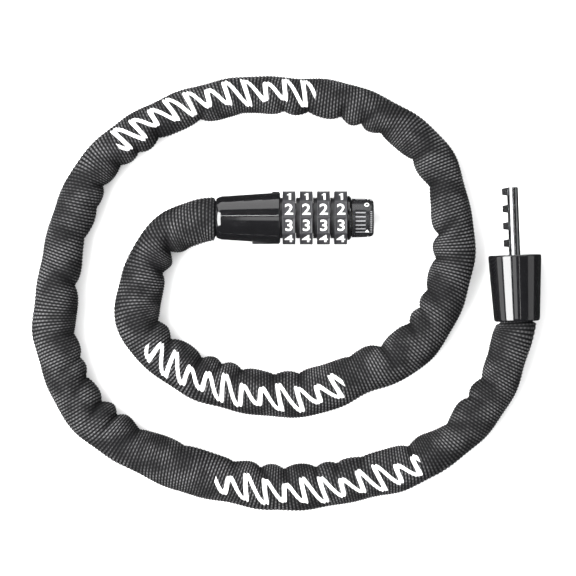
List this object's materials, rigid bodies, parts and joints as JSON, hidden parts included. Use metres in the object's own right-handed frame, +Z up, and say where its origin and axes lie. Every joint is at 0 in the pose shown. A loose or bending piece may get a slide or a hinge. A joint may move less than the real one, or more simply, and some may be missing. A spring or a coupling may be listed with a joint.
{
  "type": "chain lock",
  "caption": "Combination lock barrel on a fabric-sleeved chain whose far end carries a cup plug with a toothed locking pin.",
  "frame": {"origin": "on the table, under the middle of the lock barrel", "axes": "+Z up; +X along the barrel's axis, from the chain's end to the mouth that takes the locking pin"},
  "size_m": [0.2232, 0.1909, 0.0244],
  "materials": {
    "gloss_black_shell": "glossy black",
    "dial_plastic": "satin charcoal",
    "polished_steel": "polished",
    "spring_steel": "satin",
    "brass": "satin",
    "chain_steel": "zinc plated",
    "sleeve_fabric": "coarse woven nylon"
  },
  "bodies": {
    "sleeved_chain": {"fabric_sleeve": "sleeve_fabric", "chain_link_01": "chain_steel", "chain_link_02": "chain_steel", "chain_link_03": "chain_steel", "chain_link_04": "chain_steel", "chain_link_05": "chain_steel", "chain_link_06": "chain_steel", "chain_link_07": "chain_steel", "chain_link_08": "chain_steel", "chain_link_09": "chain_steel", "chain_link_10": "chain_steel", "chain_link_11": "chain_steel", "chain_link_12": "chain_steel", "chain_link_13": "chain_steel", "chain_link_14": "chain_steel", "chain_link_15": "chain_steel", "chain_link_16": "chain_steel", "chain_link_17": "chain_steel", "chain_link_18": "chain_steel", "chain_link_19": "chain_steel", "chain_link_20": "chain_steel", "chain_link_21": "chain_steel", "chain_link_22": "chain_steel", "chain_link_23": "chain_steel", "chain_link_24": "chain_steel", "chain_link_25": "chain_steel", "chain_link_26": "chain_steel", "chain_link_27": "chain_steel", "chain_link_28": "chain_steel", "chain_link_29": "chain_steel", "chain_link_30": "chain_steel", "chain_link_31": "chain_steel", "chain_link_32": "chain_steel", "chain_link_33": "chain_steel", "chain_link_34": "chain_steel", "chain_link_35": "chain_steel"},
    "barrel": {"tail_housing": "gloss_black_shell", "tail_anchor_pin": "chain_steel", "core_tube": "brass", "end_flange": "gloss_black_shell", "stack_spring": "spring_steel"},
    "dial_1": {"number_ring_1": "dial_plastic"},
    "dial_2": {"number_ring_2": "dial_plastic"},
    "dial_3": {"number_ring_3": "dial_plastic"},
    "dial_4": {"number_ring_4": "dial_plastic"},
    "wheel_stack": {"click_bush_1": "spring_steel", "click_bush_2": "spring_steel", "click_bush_3": "spring_steel", "click_bush_4": "spring_steel", "collar_follower": "brass"},
    "wheel_1": {"code_wheel_1": "brass"},
    "wheel_2": {"code_wheel_2": "brass"},
    "wheel_3": {"code_wheel_3": "brass"},
    "wheel_4": {"code_wheel_4": "brass"},
    "collar": {"setting_collar": "gloss_black_shell"},
    "plug": {"plug_shell": "gloss_black_shell", "plug_insert": "dial_plastic", "locking_pin": "polished_steel", "plug_anchor_pin": "chain_steel"}
  },
  "joints": [
    {"name": "barrel_swing", "type": "hinge", "parent": "sleeved_chain", "child": "barrel", "pos_m": [-0.0315, 0, 0.0122], "axis": [0, 0, 1], "range_deg": [-5, 26], "deforming": ["fabric_sleeve"]},
    {"name": "plug_swing", "type": "hinge", "parent": "sleeved_chain", "child": "plug", "pos_m": [0.09759, -0.0422, 0.0119], "axis": [0, 0, 1], "range_deg": [-27, 4], "deforming": ["fabric_sleeve"]},
    {"name": "dial_1_turn", "type": "hinge", "parent": "barrel", "child": "dial_1", "pos_m": [-0.00264, 0, 0.0122], "axis": [1, 0, 0], "continuous": true, "deforming": ["click_bush_1"]},
    {"name": "dial_2_turn", "type": "hinge", "parent": "barrel", "child": "dial_2", "pos_m": [0.00493, 0, 0.0122], "axis": [1, 0, 0], "continuous": true, "deforming": ["click_bush_2"]},
    {"name": "dial_3_turn", "type": "hinge", "parent": "barrel", "child": "dial_3", "pos_m": [0.0125, 0, 0.0122], "axis": [1, 0, 0], "continuous": true, "deforming": ["click_bush_3"]},
    {"name": "dial_4_turn", "type": "hinge", "parent": "barrel", "child": "dial_4", "pos_m": [0.02007, 0, 0.0122], "axis": [1, 0, 0], "continuous": true, "deforming": ["click_bush_4"]},
    {"name": "collar_turn", "type": "hinge", "parent": "barrel", "child": "collar", "pos_m": [0.03, 0, 0.0122], "axis": [1, 0, 0], "range_deg": [0, 90]},
    {"name": "stack_slide", "type": "slide", "parent": "barrel", "child": "wheel_stack", "axis": [-1, 0, 0], "range_m": [0, 0.0009], "deforming": ["stack_spring"]},
    {"name": "wheel_1_turn", "type": "hinge", "parent": "wheel_stack", "child": "wheel_1", "pos_m": [-0.00264, 0, 0.0122], "axis": [1, 0, 0], "continuous": true},
    {"name": "wheel_2_turn", "type": "hinge", "parent": "wheel_stack", "child": "wheel_2", "pos_m": [0.00493, 0, 0.0122], "axis": [1, 0, 0], "continuous": true},
    {"name": "wheel_3_turn", "type": "hinge", "parent": "wheel_stack", "child": "wheel_3", "pos_m": [0.0125, 0, 0.0122], "axis": [1, 0, 0], "continuous": true},
    {"name": "wheel_4_turn", "type": "hinge", "parent": "wheel_stack", "child": "wheel_4", "pos_m": [0.02007, 0, 0.0122], "axis": [1, 0, 0], "continuous": true}
  ],
  "couplings": [
    {"joint": "collar_turn", "follows": "stack_slide", "rad_per_m": 1745.3},
    {"joint": "wheel_1_turn", "follows": "dial_1_turn", "ratio": 1},
    {"joint": "wheel_2_turn", "follows": "dial_2_turn", "ratio": 1},
    {"joint": "wheel_3_turn", "follows": "dial_3_turn", "ratio": 1},
    {"joint": "wheel_4_turn", "follows": "dial_4_turn", "ratio": 1}
  ]
}
